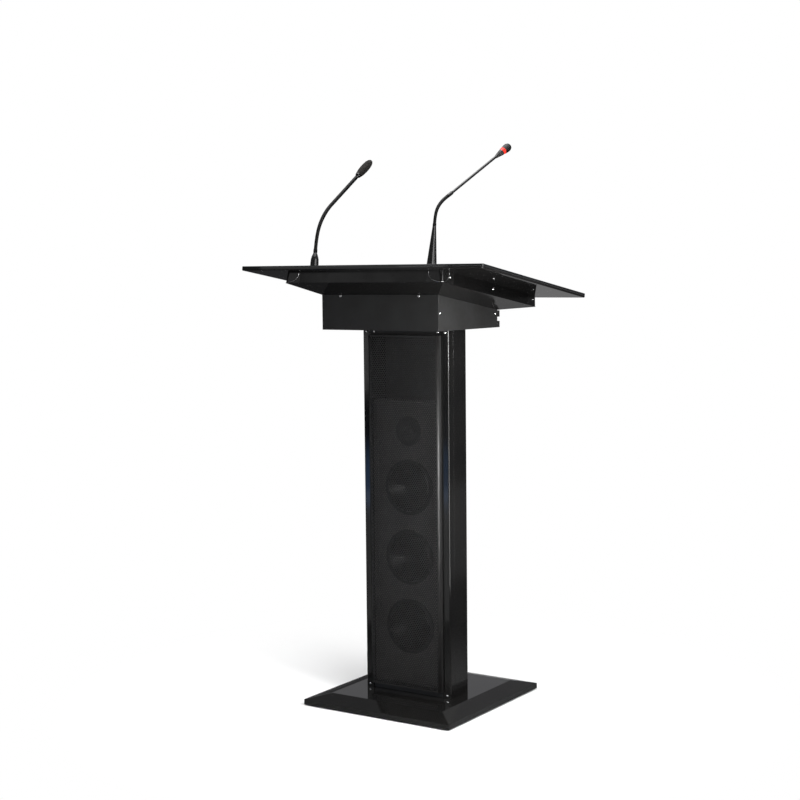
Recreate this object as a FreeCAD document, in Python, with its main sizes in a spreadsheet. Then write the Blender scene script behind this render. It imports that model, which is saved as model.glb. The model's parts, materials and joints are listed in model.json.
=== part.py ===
"""Amplified lectern stand: base, speaker column, console box, sloping desk, two gooseneck microphones.

Frame: millimetres, +Z up, origin at the centre of the face the feet stand on. The audience is
at -Y, the speaker stands at +Y, and +X is to the right seen from the audience.
"""
import FreeCAD, Part
import math
import os
import re

import Sketcher
from FreeCAD import Placement, Rotation, Vector

X_AXIS = Vector(1, 0, 0)
Y_AXIS = Vector(0, 1, 0)
Z_AXIS = Vector(0, 0, 1)

# Driving dimensions, millimetres and degrees, one section per assembly.
SIZES = {
    "Base": {
        "base_width": 446, "base_depth": 460, "base_edge": 13, "base_rise": 13, "base_inset": 53,
        "base_corner": 3, "foot_height": 3, "foot_radius": 14, "foot_inset": 30,
        "ballast_width": 340, "ballast_depth": 354, "ballast_thick": 8,
        "base_bolt_x": 90, "base_bolt_y": 20,
    },
    "Column": {
        "column_width": 263, "column_front": -69, "column_back": 17, "column_top": 985,
        "column_mid": -19, "post_size": 22, "post_wall": 2.5, "post_round": 3,
        "panel_wall": 3, "panel_return": 14, "cover_thick": 2, "end_plate": 8,
        "grille_width": 217, "grille_low": 44.5, "grille_high": 969, "grille_proud": 14,
        "grille_depth": 17, "grille_round": 7, "grille_wall": 1.2,
        "baffle_width": 192, "baffle_front": -55, "baffle_thick": 12, "baffle_low": 50,
        "baffle_high": 788, "batten_width": 13, "vent_length": 70, "vent_height": 5,
        "vent_pitch": 14,
    },
    "Speakers": {
        "woofer_low_z": 203, "woofer_pitch": 184, "woofer_radius": 73, "woofer_hole": 67,
        "tweeter_z": 718, "tweeter_radius": 38.5, "tweeter_hole": 31,
    },
    "Console": {
        "console_width": 352, "console_front": -187.5, "console_back": 115, "console_wall": 2,
        "console_drop": 60, "control_thick": 12, "panel_proud": 8, "slot_tall": 11, "slot_deep": 12,
        "cable_hole": 15,
        "control_z": 1008, "knob_radius": 9, "knob_length": 13, "knob_pitch": 34,
        "knob_shaft": 3, "shaft_play": 0.06,
    },
    "Desk": {
        "desk_height": 1150, "desk_front": -285, "desk_slope": 8.55, "desk_width": 720,
        "desk_length": 536, "glass_thick": 5, "frame_thick": 6, "desk_corner": 3,
        "tray_width": 474, "tray_start": 27, "tray_length": 472, "tray_height": 29,
        "rail_depth": 14, "rail_wall": 2, "tray_sheet": 1.5, "hopper_skin": 4.8,
        "cap_size": 46, "cap_round_top": 14, "cap_round_low": 7,
        "tray_screw_start": 58.6, "tray_screw_pitch": 209,
    },
    "Microphones": {
        "mic_spread": 177, "mic_setback": 66, "mic_turn": 72, "socket_radius": 15,
        "socket_bore": 9, "socket_rise": 1.5, "plug_play": 0.06, "ball_play": 0.06,
    },
}
ALIASES = [alias for section in SIZES.values() for alias in section]

doc = FreeCAD.newDocument("lectern")
sheet = doc.addObject("Spreadsheet::Sheet", "dims")
row = 1
for section, cells in SIZES.items():
    sheet.set(f"A{row}", section)
    row += 1
    for alias, number in cells.items():
        sheet.set(f"A{row}", alias.replace("_", " "))
        sheet.set(f"B{row}", str(number))
        sheet.setAlias(f"B{row}", alias)
        row += 1
doc.recompute()

NODES = []


def full(expression):
    """Expression with every alias written the way the document reads it."""
    return re.sub(r"[a-z][a-z_]+", lambda m: "dims." + m[0] if m[0] in ALIASES else m[0], str(expression))


def size(expression):
    """Number that an expression of the sheet comes to."""
    number = sheet.evalExpression(full(expression))
    return float(getattr(number, "Value", number))


def node(obj):
    """Keep an object as one piece of the lectern; its Label is the piece's name."""
    NODES.append(obj)
    return obj


def make_body(label, frame=Placement()):
    """Empty body with its name and its place."""
    body = doc.addObject("PartDesign::Body", label)
    body.Label = label
    body.Placement = frame
    return body


def new_sketch(body, role="XY_Plane", level="0"):
    """Sketch on one of the body's origin planes, moved along the plane's normal."""
    sketch = body.newObject("Sketcher::SketchObject", body.Name + "_sketch")
    plane = next(item for item in body.Origin.OriginFeatures if item.Role == role)
    sketch.AttachmentSupport = [(plane, "")]
    sketch.MapMode = "FlatFace"
    sketch.setExpression(".AttachmentOffset.Base.z", full(level))
    return sketch


def pin(sketch, edge, end, x, y):
    """Hold one point of a sketch at a place given by two expressions."""
    for kind, expression in (("DistanceX", x), ("DistanceY", y)):
        index = sketch.addConstraint(Sketcher.Constraint(kind, -1, 1, edge, end, size(expression)))
        sketch.setExpression(f"Constraints[{index}]", full(expression))


def outline(sketch, corners):
    """Closed outline of straight lines through corners given as pairs of expressions."""
    points = [Vector(size(x), size(y), 0) for x, y in corners]
    first = sketch.GeometryCount
    count = len(points)
    for i in range(count):
        sketch.addGeometry(Part.LineSegment(points[i], points[(i + 1) % count]))
    for i in range(count):
        sketch.addConstraint(Sketcher.Constraint("Coincident", first + i, 2, first + (i + 1) % count, 1))
        pin(sketch, first + i, 1, *corners[i])


def rectangle(sketch, x0, y0, x1, y1):
    """Upright rectangle between two corners."""
    outline(sketch, [(x0, y0), (x1, y0), (x1, y1), (x0, y1)])


def circle(sketch, x, y, radius):
    """Circle with a bound centre and radius."""
    edge = sketch.addGeometry(Part.Circle(Vector(size(x), size(y), 0), Z_AXIS, size(radius)))
    pin(sketch, edge, 3, x, y)
    index = sketch.addConstraint(Sketcher.Constraint("Radius", edge, size(radius)))
    sketch.setExpression(f"Constraints[{index}]", full(radius))


def rounded_rectangle(sketch, x0, y0, x1, y1, radius):
    """Rectangle whose four corners are arcs of one radius."""
    left, low, right, high, r = (size(item) for item in (x0, y0, x1, y1, radius))
    centres = [(right - r, low + r), (right - r, high - r), (left + r, high - r), (left + r, low + r)]
    arcs = []
    for i, (cx, cy) in enumerate(centres):
        ring = Part.Circle(Vector(cx, cy, 0), Z_AXIS, r)
        start = math.radians(90 * i - 90)
        arcs.append(sketch.addGeometry(Part.ArcOfCircle(ring, start, start + math.pi / 2)))
    ends = [(f"({x1}) - ({radius})", y0), (x1, f"({y1}) - ({radius})"),
            (f"({x0}) + ({radius})", y1), (x0, f"({y0}) + ({radius})")]
    for i, edge in enumerate(arcs):
        follower = arcs[(i + 1) % 4]
        shape = sketch.Geometry[edge]
        line = Part.LineSegment(shape.EndPoint, sketch.Geometry[follower].StartPoint)
        link = sketch.addGeometry(line)
        sketch.addConstraint(Sketcher.Constraint("Coincident", edge, 2, link, 1))
        sketch.addConstraint(Sketcher.Constraint("Coincident", link, 2, follower, 1))
        index = sketch.addConstraint(Sketcher.Constraint("Radius", edge, r))
        sketch.setExpression(f"Constraints[{index}]", full(radius))
        pin(sketch, edge, 1, *ends[i])


def pad(body, sketch, length, reverse=False):
    """Solid from a sketch along its normal."""
    feature = body.newObject("PartDesign::Pad", body.Name + "_pad")
    feature.Profile = sketch
    feature.Length = size(length)
    feature.setExpression("Length", full(length))
    feature.Reversed = reverse
    doc.recompute()
    return feature


def pocket(body, sketch, length, reverse=False):
    """Cut from a sketch against its normal, or along it when reversed; it has to remove something."""
    before = body.Shape.Volume
    feature = body.newObject("PartDesign::Pocket", body.Name + "_pocket")
    feature.Profile = sketch
    feature.Length = size(length)
    feature.setExpression("Length", full(length))
    feature.Reversed = reverse
    doc.recompute()
    if body.Shape.Volume >= before:
        raise RuntimeError(f"{body.Label}: a pocket removes nothing")
    return feature


def turn(body, sketch):
    """Solid of revolution about the sketch's vertical axis."""
    feature = body.newObject("PartDesign::Revolution", body.Name + "_turn")
    feature.Profile = sketch
    feature.ReferenceAxis = (sketch, ["V_Axis"])
    feature.Angle = 360
    doc.recompute()
    return feature


def round_edges(body, radius, wanted):
    """Fillet the edges whose middle point and direction a test accepts."""
    tip = body.Tip
    names = []
    for i, edge in enumerate(tip.Shape.Edges, 1):
        if edge.Length > 0.01 and wanted(edge):
            names.append(f"Edge{i}")
    feature = body.newObject("PartDesign::Fillet", body.Name + "_fillet")
    feature.Base = (tip, names)
    feature.Radius = size(radius)
    feature.setExpression("Radius", full(radius))
    doc.recompute()
    return feature


def direction(edge):
    """Unit vector from one end of an edge to the other."""
    ends = edge.Vertexes
    return (ends[-1].Point - ends[0].Point).normalize() if len(ends) > 1 else Vector()


def along(edge, axis):
    """Whether an edge runs along an axis."""
    return abs(direction(edge).dot(axis)) > 0.999


def block(label, x0, x1, y0, y1, z0, z1, frame=Placement()):
    """Rectangular body between six faces given as expressions."""
    body = make_body(label, frame)
    sketch = new_sketch(body, "XY_Plane", z0)
    rectangle(sketch, x0, y0, x1, y1)
    pad(body, sketch, f"({z1}) - ({z0})")
    return body


def plate(label, x0, x1, y0, y1, z0, z1, frame=Placement()):
    """Rectangular piece of the lectern."""
    return node(block(label, x0, x1, y0, y1, z0, z1, frame))


def drill(body, places, radius, top, depth):
    """Round holes down from a level, at places given as pairs of expressions."""
    sketch = new_sketch(body, "XY_Plane", top)
    for x, y in places:
        circle(sketch, x, y, radius)
    return pocket(body, sketch, depth)


def turned(label, profile, frame=Placement()):
    """Body of revolution from its half outline, given as (radius, height) pairs."""
    body = make_body(label, frame)
    sketch = new_sketch(body, "XZ_Plane")
    outline(sketch, profile)
    turn(body, sketch)
    return body


def lathe(label, profile, frame=Placement()):
    """Turned piece of the lectern."""
    return node(turned(label, profile, frame))


def cross(half, arm):
    """Corners of a cross-shaped driver recess."""
    quarter = [(arm, half), (f"-{arm}", half), (f"-{arm}", arm), (f"-{half}", arm)]
    opposite = [(f"-{half}", f"-{arm}"), (f"-{arm}", f"-{arm}"), (f"-{arm}", f"-{half}"), (arm, f"-{half}")]
    return quarter + opposite + [(arm, f"-{arm}"), (half, f"-{arm}"), (half, arm), (arm, arm)]


def hexagon(radius):
    """Corners of a six-sided driver recess."""
    return [(f"{radius} * cos({60 * i})", f"{radius} * sin({60 * i})") for i in range(6)]


def fastener(label, head_radius, head_height, shank_radius, shank_length, recess):
    """Screw along +Z, its head standing on Z = 0; it is repeated by links and isn't a piece itself."""
    body = turned(label, [
        ("0", f"-({shank_length})"), (shank_radius, f"-({shank_length})"), (shank_radius, "0"),
        (head_radius, "0"), (head_radius, f"({head_height}) * 0.5"),
        (f"({head_radius}) * 0.75", head_height), ("0", head_height)])
    driver = new_sketch(body, "XY_Plane", head_height)
    outline(driver, recess)
    pocket(body, driver, f"({head_height}) * 0.6")
    return body


def repeat(label, source, places):
    """One piece made of the same source at several placements."""
    links = []
    for place in places:
        link = doc.addObject("App::Link", label + "_copy")
        link.LinkedObject = source
        link.Placement = place
        links.append(link)
    return gather(label, links)


def gather(label, members):
    """One piece made of several separate solids."""
    group = doc.addObject("Part::Compound", label)
    group.Label = label
    group.Links = members
    return node(group)


def mirrored(x, sign):
    """Expression for a place on the right (+1) or the left (-1)."""
    return f"{sign} * ({x})"


def span(x0, x1, sign):
    """Two mirrored places, the smaller first."""
    return (mirrored(x0, sign), mirrored(x1, sign)) if sign > 0 else (mirrored(x1, sign), mirrored(x0, sign))


SIDES = (("left", -1), ("right", 1))
FACING_AUDIENCE = Rotation(X_AXIS, 90)
FACING_SPEAKER = Rotation(X_AXIS, -90)
DESK = Placement(Vector(0, size("desk_front"), size("desk_height")), Rotation(X_AXIS, -size("desk_slope")))

# ---------------------------------------------------------------- base
BASE_FACE = "foot_height + base_edge + base_rise"

base = make_body("base_plate")
edge_sketch = new_sketch(base, "XY_Plane", "foot_height")
rounded_rectangle(edge_sketch, "-base_width / 2", "-base_depth / 2", "base_width / 2", "base_depth / 2",
                  "base_corner")
pad(base, edge_sketch, "base_edge")
low_sketch = new_sketch(base, "XY_Plane", "foot_height + base_edge")
rounded_rectangle(low_sketch, "-base_width / 2", "-base_depth / 2", "base_width / 2", "base_depth / 2",
                  "base_corner")
high_sketch = new_sketch(base, "XY_Plane", BASE_FACE)
rounded_rectangle(high_sketch, "base_inset - base_width / 2", "base_inset - base_depth / 2",
                  "base_width / 2 - base_inset", "base_depth / 2 - base_inset", "2")
bevel = base.newObject("PartDesign::AdditiveLoft", "base_bevel")
bevel.Profile = low_sketch
bevel.Sections = [high_sketch]
bevel.Ruled = True
doc.recompute()
recess = new_sketch(base, "XY_Plane", "foot_height")
rectangle(recess, "-ballast_width / 2 - 0.5", "-ballast_depth / 2 - 0.5",
          "ballast_width / 2 + 0.5", "ballast_depth / 2 + 0.5")
pocket(base, recess, "ballast_thick", reverse=True)
BASE_BOLTS = [(mirrored("base_bolt_x", i), f"column_mid + {j} * base_bolt_y")
              for i in (-1, 1) for j in (-1, 1)]
drill(base, BASE_BOLTS, "4.5", BASE_FACE, "base_edge + base_rise")
node(base)

ballast = plate("ballast_plate", "-ballast_width / 2", "ballast_width / 2", "-ballast_depth / 2",
                "ballast_depth / 2", "foot_height", "foot_height + ballast_thick - 0.2")
drill(ballast, BASE_BOLTS, "10", "foot_height + ballast_thick", "ballast_thick")

foot = make_body("foot_shape")
foot_sketch = new_sketch(foot, "XZ_Plane")
outline(foot_sketch, [("0", "0"), ("foot_radius - 2", "0"), ("foot_radius", "1"),
                      ("foot_radius", "foot_height"), ("0", "foot_height")])
turn(foot, foot_sketch)
foot_x = size("base_width / 2 - foot_inset")
foot_y = size("base_depth / 2 - foot_inset")
foot_places = [(0, 0)] + [(i * foot_x, j * foot_y) for i in (-1, 1) for j in (-1, 1)]
repeat("rubber_feet", foot, [Placement(Vector(x, y, 0), Rotation()) for x, y in foot_places])

base_bolt = fastener("base_bolt_shape", "8", "5", "4", "base_edge + base_rise - ballast_thick + end_plate",
                     hexagon("3.5"))
repeat("base_bolts", base_bolt, [
    Placement(Vector(size(x), size(y), size("foot_height + ballast_thick")), Rotation(X_AXIS, 180))
    for x, y in BASE_BOLTS])

# ---------------------------------------------------------------- speaker column
COLUMN_LOW = f"{BASE_FACE} + 0.2"
COLUMN_HIGH = "column_top - 0.2"
HALF = "column_width / 2"
POST_INNER = "column_width / 2 - post_size"
POST_REAR = "column_front + post_size"

for side, sign in SIDES:
    post = plate(f"post_{side}", *span(POST_INNER, HALF, sign), "column_front", POST_REAR,
                 COLUMN_LOW, COLUMN_HIGH)
    round_edges(post, "post_round", lambda e: along(e, Z_AXIS)
                and abs(e.CenterOfMass.x) > size(HALF) - 1 and e.CenterOfMass.y < size("column_front") + 1)
    hollow = new_sketch(post, "XY_Plane", COLUMN_HIGH)
    inner, outer = span(f"{POST_INNER} + post_wall", f"{HALF} - post_wall", sign)
    rectangle(hollow, inner, "column_front + post_wall", outer, f"{POST_REAR} - post_wall")
    pocket(post, hollow, f"{COLUMN_HIGH} - ({COLUMN_LOW})")

    panel = make_body(f"side_panel_{side}")
    section = new_sketch(panel, "XY_Plane", COLUMN_LOW)
    panel_rear = "column_back - cover_thick - 0.2"
    outline(section, [(mirrored(x, sign), y) for x, y in (
        (HALF, f"{POST_REAR} + 0.3"), (HALF, panel_rear), (f"{HALF} - panel_return", panel_rear),
        (f"{HALF} - panel_return", f"{panel_rear} - panel_wall"),
        (f"{HALF} - panel_wall", f"{panel_rear} - panel_wall"),
        (f"{HALF} - panel_wall", f"{POST_REAR} + 0.3"))])
    pad(panel, section, f"{COLUMN_HIGH} - ({COLUMN_LOW})")
    node(panel)

cover = plate("rear_cover", f"0.3 - {HALF}", f"{HALF} - 0.3", "column_back - cover_thick", "column_back",
              COLUMN_LOW, COLUMN_HIGH)
round_edges(cover, "1.5", lambda e: along(e, Z_AXIS) and e.CenterOfMass.y > size("column_back") - 0.5)
vents = new_sketch(cover, "XZ_Plane", "-(column_back + 1)")
for group_z in ("120", "640"):
    for i in range(6):
        for sign in (-1, 1):
            x0, x1 = span("12", "12 + vent_length", sign)
            low = f"{group_z} + {i} * vent_pitch"
            rectangle(vents, x0, low, x1, f"{low} + vent_height")
pocket(cover, vents, "cover_thick + 2", reverse=True)

inside_x = f"{HALF} - panel_wall - 0.3"
inside_y0 = f"{POST_REAR} + 0.3"
inside_y1 = "column_back - cover_thick - panel_wall - 0.5"
foot_plate = plate("foot_plate", f"-({inside_x})", inside_x, inside_y0, inside_y1,
                   COLUMN_LOW, f"{COLUMN_LOW} + end_plate")
drill(foot_plate, BASE_BOLTS, "4.05", f"{COLUMN_LOW} + end_plate", "end_plate")
TOP_BOLTS = [(mirrored("100", i), f"column_mid + {j} * 16") for i in (-1, 1) for j in (-1, 1)]
top_plate = plate("top_plate", f"-({inside_x})", inside_x, inside_y0, inside_y1,
                  f"{COLUMN_HIGH} - end_plate", COLUMN_HIGH)
drill(top_plate, TOP_BOLTS, "4.05", COLUMN_HIGH, "end_plate")
drill(top_plate, [("0", "column_mid")], "cable_hole", COLUMN_HIGH, "end_plate")

rail_x = f"{POST_INNER} - 0.2"
gather("front_rails", [
    block("top_rail", f"-({rail_x})", rail_x, "column_front + 3", POST_REAR, "grille_high + 0.5",
          COLUMN_HIGH),
    block("bottom_rail", f"-({rail_x})", rail_x, "column_front + 3", POST_REAR, COLUMN_LOW,
          "grille_low - 0.5")])

grille = plate("grille_pan", "-grille_width / 2", "grille_width / 2", "column_front - grille_proud",
               "column_front - grille_proud + grille_depth", "grille_low", "grille_high")
GRILLE_FACE = size("column_front - grille_proud")
round_edges(grille, "grille_round", lambda e: abs(e.CenterOfMass.y - GRILLE_FACE) < 0.5
            and along(e, Z_AXIS))
solid = grille.Tip
rear_face = max(range(len(solid.Shape.Faces)), key=lambda i: solid.Shape.Faces[i].CenterOfMass.y)
shell = grille.newObject("PartDesign::Thickness", "grille_shell")
shell.Base = (solid, [f"Face{rear_face + 1}"])
shell.Value = size("grille_wall")
shell.setExpression("Value", full("grille_wall"))
shell.Reversed = True
doc.recompute()

baffle = make_body("baffle_board")
board = new_sketch(baffle, "XZ_Plane", "-(baffle_front + baffle_thick)")
rectangle(board, "-baffle_width / 2", "baffle_low", "baffle_width / 2", "baffle_high")
for i in range(3):
    circle(board, "0", f"woofer_low_z + {i} * woofer_pitch", "woofer_hole")
circle(board, "0", "tweeter_z", "tweeter_hole")
pad(baffle, board, "baffle_thick")
node(baffle)
gather("baffle_battens", [
    block(f"batten_{side}", *span("baffle_width / 2 + 0.1", "baffle_width / 2 + 0.1 + batten_width", sign),
          "baffle_front - 2", "baffle_front + 20", "baffle_low", "baffle_high")
    for side, sign in SIDES])
plate("chamber_lid", f"-({rail_x})", rail_x, "baffle_front", inside_y1,
      "baffle_high + 0.2", "baffle_high + 8")

# ---------------------------------------------------------------- loudspeakers
# Local frames: +Z towards the audience, Z = 0 on the front of the baffle.
WOOFERS = [Placement(Vector(0, size("baffle_front"), size(f"woofer_low_z + {i} * woofer_pitch")),
                     FACING_AUDIENCE) for i in range(3)]
basket = turned("basket_shape", [
    ("0", "-46"), ("38", "-46"), ("38", "-31"), ("34", "-31"), ("34", "-25"), ("66", "-4"),
    ("66", "0"), ("woofer_radius", "0"), ("woofer_radius", "2.5"), ("woofer_radius - 1", "3.5"),
    ("64", "3.5"), ("64", "-2"), ("30", "-22"), ("14.2", "-22"), ("14.2", "-27"), ("0", "-27")])
repeat("woofer_baskets", basket, WOOFERS)
cone = turned("cone_shape", [
    ("0", "-9.5"), ("8", "-10.5"), ("12.2", "-13.5"), ("12.2", "-25.5"), ("13.6", "-25.5"),
    ("13.6", "-17"), ("21", "-14.8"), ("54", "-2"), ("63.9", "-1.2"), ("63.9", "1.2"),
    ("62.5", "4.2"), ("59.5", "5.4"), ("56.5", "4.2"), ("55", "1"), ("22", "-12.6"),
    ("16", "-8.6"), ("9", "-6.4"), ("0", "-5.6")])
repeat("woofer_cones", cone, WOOFERS)

tweeter_frame = Placement(Vector(0, size("baffle_front"), size("tweeter_z")), FACING_AUDIENCE)
lathe("tweeter_frame", [
    ("0", "-24"), ("25", "-24"), ("25", "-7"), ("30", "-3"), ("30", "0"), ("tweeter_radius", "0"),
    ("tweeter_radius", "2"), ("tweeter_radius - 1", "3"), ("26", "3"), ("17", "-0.5"), ("13.8", "-0.5"),
    ("13.8", "-4"), ("0", "-4")], tweeter_frame)
lathe("tweeter_dome", [
    ("0", "-3.8"), ("13.5", "-3.8"), ("13.5", "0.4"), ("11.5", "3.2"), ("7.5", "5.4"), ("3.5", "6.4"),
    ("0", "6.6")], tweeter_frame)

driver_screw = fastener("driver_screw_shape", "2.6", "1.6", "1.4", "8", cross("1.4", "0.35"))
driver_places = []
for z, ring, count in [(size(f"woofer_low_z + {i} * woofer_pitch"), 69.5, 8) for i in range(3)] + \
        [(size("tweeter_z"), 34.5, 4)]:
    face = size("baffle_front") - (3.5 if count == 8 else 3)
    for k in range(count):
        angle = 2 * math.pi * (k + 0.5) / count
        driver_places.append(Placement(
            Vector(ring * math.cos(angle), face, z + ring * math.sin(angle)), FACING_AUDIENCE))
repeat("driver_screws", driver_screw, driver_places)

# ---------------------------------------------------------------- console box
def under_desk(y, drop):
    """Height of the plane parallel to the desk, a drop below it, over a place y."""
    return f"(desk_height - tan(desk_slope) * (({y}) - desk_front) - ({drop}) / cos(desk_slope))"


PANEL_FRONT = "console_back - control_thick"
console = make_body("console_shell")
profile = new_sketch(console, "YZ_Plane", "-console_width / 2")
outline(profile, [
    ("console_front", "column_top"), (f"{PANEL_FRONT} - 0.2", "column_top"),
    (f"{PANEL_FRONT} - 0.2", under_desk(f"{PANEL_FRONT} - 0.2", "console_drop + 0.1")),
    ("console_front", under_desk("console_front", "console_drop + 0.1"))])
pad(console, profile, "console_width")
hollow = new_sketch(console, "YZ_Plane", "console_wall - console_width / 2")
outline(hollow, [
    ("console_front + console_wall", "column_top + console_wall"),
    ("console_back + 5", "column_top + console_wall"), ("console_back + 5", "column_top + 200"),
    ("console_front + console_wall", "column_top + 200")])
pocket(console, hollow, "console_width - 2 * console_wall", reverse=True)
drill(console, TOP_BOLTS, "4.3", "column_top + console_wall", "console_wall")
drill(console, [("0", "column_mid")], "cable_hole - 1", "column_top + console_wall", "console_wall")
node(console)

column_bolt = fastener("column_bolt_shape", "7", "5", "4", "console_wall + 0.2 + end_plate",
                       hexagon("3.5"))
repeat("column_bolts", column_bolt, [
    Placement(Vector(size(x), size(y), size("column_top + console_wall")), Rotation()) for x, y in TOP_BOLTS])

# Places along the slope of the console's front and back edges, in the desk's own frame.
LID_START = "((console_front - desk_front + console_drop * sin(desk_slope)) / cos(desk_slope))"
LID_END = "((console_back - panel_proud - desk_front + console_drop * sin(desk_slope)) / cos(desk_slope))"
lid = plate("console_lid", "console_wall + 0.3 - console_width / 2",
            "console_width / 2 - console_wall - 0.3", f"{LID_START} + 3", f"{LID_END} - 8",
            "-console_drop - 1.8", "-console_drop - 0.3", DESK)
drill(lid, [("0", "(tray_start + tray_length / 2)")], "cable_hole", "-console_drop - 0.3", "1.5")

control = make_body("control_panel")
face_sketch = new_sketch(control, "XZ_Plane", "-console_back")
panel_top = under_desk("console_back", "console_drop + 0.4")
slot_low = "control_z - slot_tall / 2 - 1"
slot_high = "control_z + slot_tall / 2 - 1"
edge_x = "console_width / 2"
outline(face_sketch, [
    (f"-{edge_x}", "column_top"), (edge_x, "column_top"), (edge_x, slot_low),
    (f"{edge_x} - slot_deep", slot_low), (f"{edge_x} - slot_deep", slot_high), (edge_x, slot_high),
    (edge_x, panel_top), (f"-{edge_x}", panel_top), (f"-{edge_x}", slot_high),
    (f"slot_deep - {edge_x}", slot_high), (f"slot_deep - {edge_x}", slot_low), (f"-{edge_x}", slot_low)])
pad(control, face_sketch, "control_thick")
KNOBS = [("knob_mic_one", "-1 * knob_pitch - 20"), ("knob_mic_two", "-20"), ("knob_music", "knob_pitch - 20")]
holes = new_sketch(control, "XZ_Plane", "-console_back")
for _, x in KNOBS:
    circle(holes, x, "control_z", "knob_shaft + shaft_play")
for x in ("-120", "-96"):
    circle(holes, x, "control_z", "5")
circle(holes, "50", "control_z", "2.6")
rectangle(holes, "69.5", "control_z - 7", "90.5", "control_z + 7")
rectangle(holes, "109", "control_z - 12", "139", "control_z + 12")
pocket(control, holes, "control_thick", reverse=True)
node(control)

for name, x in KNOBS:
    knob = lathe(name, [
        ("0", "-20"), ("knob_shaft", "-20"), ("knob_shaft", "0.6"), ("knob_radius", "0.6"),
        ("knob_radius", "2.6"), ("knob_radius - 1.4", "3.6"), ("knob_radius - 2", "knob_length - 1"),
        ("knob_radius - 3", "knob_length"), ("0", "knob_length")],
        Placement(Vector(size(x), size("console_back"), size("control_z")), FACING_SPEAKER))
    mark = new_sketch(knob, "XY_Plane", "knob_length")
    rectangle(mark, "-0.6", "-knob_radius", "0.6", "-1.5")
    pocket(knob, mark, "knob_length - 4")
dial = make_body("dial_body_shape")
dial_sketch = new_sketch(dial)
circle(dial_sketch, "0", "0", "9")
circle(dial_sketch, "0", "0", "knob_shaft + shaft_play")
pad(dial, dial_sketch, "10")
repeat("dial_bodies", dial, [
    Placement(Vector(size(x), size(PANEL_FRONT), size("control_z")), FACING_AUDIENCE) for _, x in KNOBS])

jack = make_body("jack_shape")
jack_sketch = new_sketch(jack)
circle(jack_sketch, "0", "0", "4.9")
circle(jack_sketch, "0", "0", "3.2")
pad(jack, jack_sketch, "control_thick + 18")
flange = new_sketch(jack)
circle(flange, "0", "0", "7")
circle(flange, "0", "0", "3.2")
pad(jack, flange, "1.5", reverse=True)
repeat("jack_sockets", jack, [
    Placement(Vector(x, size("console_back"), size("control_z")), FACING_AUDIENCE) for x in (-120, -96)])
lathe("power_lamp", [("0", "-8"), ("2.5", "-8"), ("2.5", "0"), ("3.6", "0"), ("3.6", "0.8"),
                     ("2.4", "0.8"), ("2.2", "2"), ("1.2", "3"), ("0", "3.2")],
      Placement(Vector(50, size("console_back"), size("control_z")), FACING_SPEAKER))

# Switch and inlet are laid out in frames that face the speaker: local X to the left, Y up.
SWITCH = Placement(Vector(80, size("console_back"), size("control_z")),
                   Rotation(Vector(-1, 0, 0), Vector(0, 0, 1), Vector(0, 1, 0), "ZXY"))
bezel = plate("switch_bezel", "-12.5", "12.5", "-9", "9", "0", "1.6", SWITCH)
opening = new_sketch(bezel, "XY_Plane", "1.6")
rectangle(opening, "-9.3", "-6.1", "9.3", "6.1")
pocket(bezel, opening, "1.6")
can = new_sketch(bezel)
rectangle(can, "-10.3", "-6.8", "10.3", "6.8")
rectangle(can, "-9.3", "-6.1", "9.3", "6.1")
pad(bezel, can, "14", reverse=True)
rocker = make_body("power_rocker", SWITCH)
rocker_sketch = new_sketch(rocker, "XZ_Plane", "-5.8")
outline(rocker_sketch, [("-8.4", "2.6"), ("-8.4", "-4"), ("-3", "-9"), ("3", "-9"), ("8.4", "-4"),
                        ("8.4", "2.6"), ("0", "1.3")])
pad(rocker, rocker_sketch, "11.6")
node(rocker)

INLET = Placement(Vector(124, size("console_back"), size("control_z")), SWITCH.Rotation)
inlet = plate("mains_inlet", "-14.5", "14.5", "-11.5", "11.5", "-18", "0", INLET)
rim = new_sketch(inlet)
rectangle(rim, "-18", "-14", "18", "14")
pad(inlet, rim, "2")
well = new_sketch(inlet, "XY_Plane", "2")
outline(well, [("-12", "-8.5"), ("12", "-8.5"), ("12", "5"), ("8.5", "8.5"), ("-8.5", "8.5"), ("-12", "5")])
pocket(inlet, well, "17")
blades = new_sketch(inlet, "XY_Plane", "-15")
for x, y in (("-7", "-2"), ("7", "-2"), ("0", "2")):
    rectangle(blades, f"{x} - 1", f"{y} - 2", f"{x} + 1", f"{y} + 2")
pad(inlet, blades, "12")

amplifier = block("amplifier_board", "-152", "20", "-160", "-30", "column_top + 10", "column_top + 12")
legs = new_sketch(amplifier, "XY_Plane", "column_top + 10")
for x in ("-146", "14"):
    for y in ("-154", "-36"):
        circle(legs, x, y, "3.5")
pad(amplifier, legs, "10 - console_wall", reverse=True)
node(amplifier)
heat_sink = make_body("heat_sink")
fins = new_sketch(heat_sink, "XZ_Plane", "100")
comb = [("-144", "column_top + 12"), ("10", "column_top + 12")]
for i in range(8):
    fin = 10 - 22 * i
    comb += [(f"{fin}", "column_top + 28"), (f"{fin - 4}", "column_top + 28")]
    if i < 7:
        comb += [(f"{fin - 4}", "column_top + 16"), (f"{fin - 22}", "column_top + 16")]
comb[-1] = ("-148", "column_top + 28")
comb[0] = ("-148", "column_top + 12")
outline(fins, comb)
pad(heat_sink, fins, "45")
node(heat_sink)
toroid = make_body("power_transformer", Placement(Vector(95, -90, size("column_top + console_wall")),
                                                 Rotation()))
ring_sketch = new_sketch(toroid)
circle(ring_sketch, "0", "0", "46")
circle(ring_sketch, "0", "0", "16")
pad(toroid, ring_sketch, "42")
round_edges(toroid, "9", lambda e: len(e.Vertexes) == 1)
node(toroid)

# ---------------------------------------------------------------- tray and desk, in the desk's frame
FRAME_LOW = "-(glass_thick + frame_thick)"
TRAY_LOW = "-(glass_thick + frame_thick + tray_height)"
TRAY_END = "tray_start + tray_length"

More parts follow.
